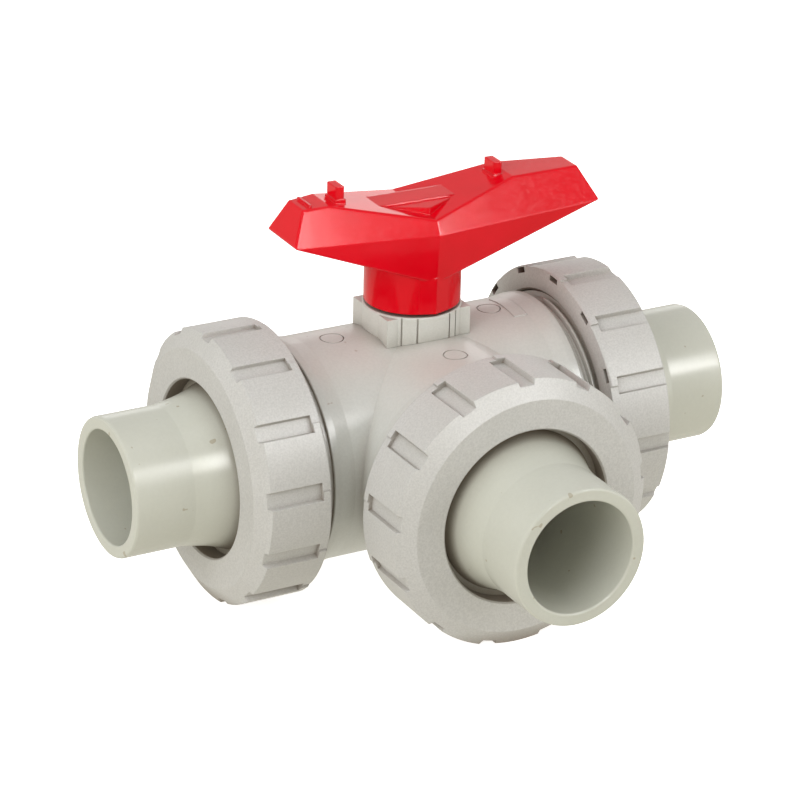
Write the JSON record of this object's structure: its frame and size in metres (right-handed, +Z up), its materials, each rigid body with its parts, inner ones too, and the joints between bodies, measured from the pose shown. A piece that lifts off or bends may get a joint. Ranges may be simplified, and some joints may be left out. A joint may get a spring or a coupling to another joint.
{
  "type": "three way valve",
  "caption": "Three-way union ball valve: T-shaped barrel housing, grooved union nuts, plain spigot pipe ends and a two-armed red handle with an arrow on top.",
  "frame": {"origin": "ball centre, where the three port axes and the stem axis meet", "axes": "+X along the run to the right port, -Y along the branch port, +Z up the stem to the handle"},
  "size_m": [0.2988, 0.2115, 0.1845],
  "materials": {
    "housing_plastic": "satin moulded polypropylene, light warm grey",
    "collar_plastic": "satin moulded polypropylene, pale grey",
    "nut_plastic": "fine spark-eroded grain, pale grey",
    "spigot_plastic": "smooth semi-gloss polypropylene, slightly green grey",
    "ball_plastic": "polished polypropylene",
    "stem_plastic": "machined polypropylene",
    "handle_red": "glossy moulded red",
    "ptfe": "waxy white PTFE",
    "rubber_black": "moulded EPDM"
  },
  "bodies": {
    "valve_body": {"housing": "housing_plastic", "neck_collar": "collar_plastic", "thrust_washer": "ptfe", "seat_rear": "ptfe", "seat_ring_rear": "rubber_black", "seat_right": "ptfe", "seat_ring_right": "rubber_black", "carrier_right": "ball_plastic", "carrier_ring_right": "rubber_black", "face_ring_right": "rubber_black", "seat_left": "ptfe", "seat_ring_left": "rubber_black", "carrier_left": "ball_plastic", "carrier_ring_left": "rubber_black", "face_ring_left": "rubber_black", "seat_branch": "ptfe", "seat_ring_branch": "rubber_black", "carrier_branch": "ball_plastic", "carrier_ring_branch": "rubber_black", "face_ring_branch": "rubber_black"},
    "spindle": {"stem": "stem_plastic", "ball": "ball_plastic", "stem_ring_lower": "rubber_black", "stem_ring_upper": "rubber_black"},
    "lever": {"handle": "handle_red"},
    "tail_right": {"spigot_right": "spigot_plastic"},
    "ring_nut_right": {"nut_right": "nut_plastic"},
    "tail_left": {"spigot_left": "spigot_plastic"},
    "ring_nut_left": {"nut_left": "nut_plastic"},
    "tail_branch": {"spigot_branch": "spigot_plastic"},
    "ring_nut_branch": {"nut_branch": "nut_plastic"}
  },
  "joints": [
    {"name": "valve_turn", "type": "hinge", "parent": "valve_body", "child": "spindle", "pos_m": [0, 0, 0], "axis": [0, 0, 1], "continuous": true},
    {"name": "handle_lift", "type": "slide", "parent": "spindle", "child": "lever", "axis": [0, 0, 1], "range_m": [0, 0.03]},
    {"name": "tail_right_slide", "type": "slide", "parent": "valve_body", "child": "tail_right", "axis": [1, 0, 0], "range_m": [0, 0.0161]},
    {"name": "nut_right_turn", "type": "hinge", "parent": "tail_right", "child": "ring_nut_right", "pos_m": [0, 0, 0], "axis": [1, 0, 0], "range_deg": [0, 1440]},
    {"name": "tail_left_slide", "type": "slide", "parent": "valve_body", "child": "tail_left", "axis": [-1, 0, 0], "range_m": [0, 0.0161]},
    {"name": "nut_left_turn", "type": "hinge", "parent": "tail_left", "child": "ring_nut_left", "pos_m": [0, 0, 0], "axis": [-1, 0, 0], "range_deg": [0, 1440]},
    {"name": "tail_branch_slide", "type": "slide", "parent": "valve_body", "child": "tail_branch", "axis": [0, -1, 0], "range_m": [0, 0.0161]},
    {"name": "nut_branch_turn", "type": "hinge", "parent": "tail_branch", "child": "ring_nut_branch", "pos_m": [0, 0, 0], "axis": [0, -1, 0], "range_deg": [0, 1440]}
  ],
  "couplings": [
    {"joint": "tail_right_slide", "follows": "nut_right_turn", "m_per_rad": 0.00063662},
    {"joint": "tail_left_slide", "follows": "nut_left_turn", "m_per_rad": 0.00063662},
    {"joint": "tail_branch_slide", "follows": "nut_branch_turn", "m_per_rad": 0.00063662}
  ]
}
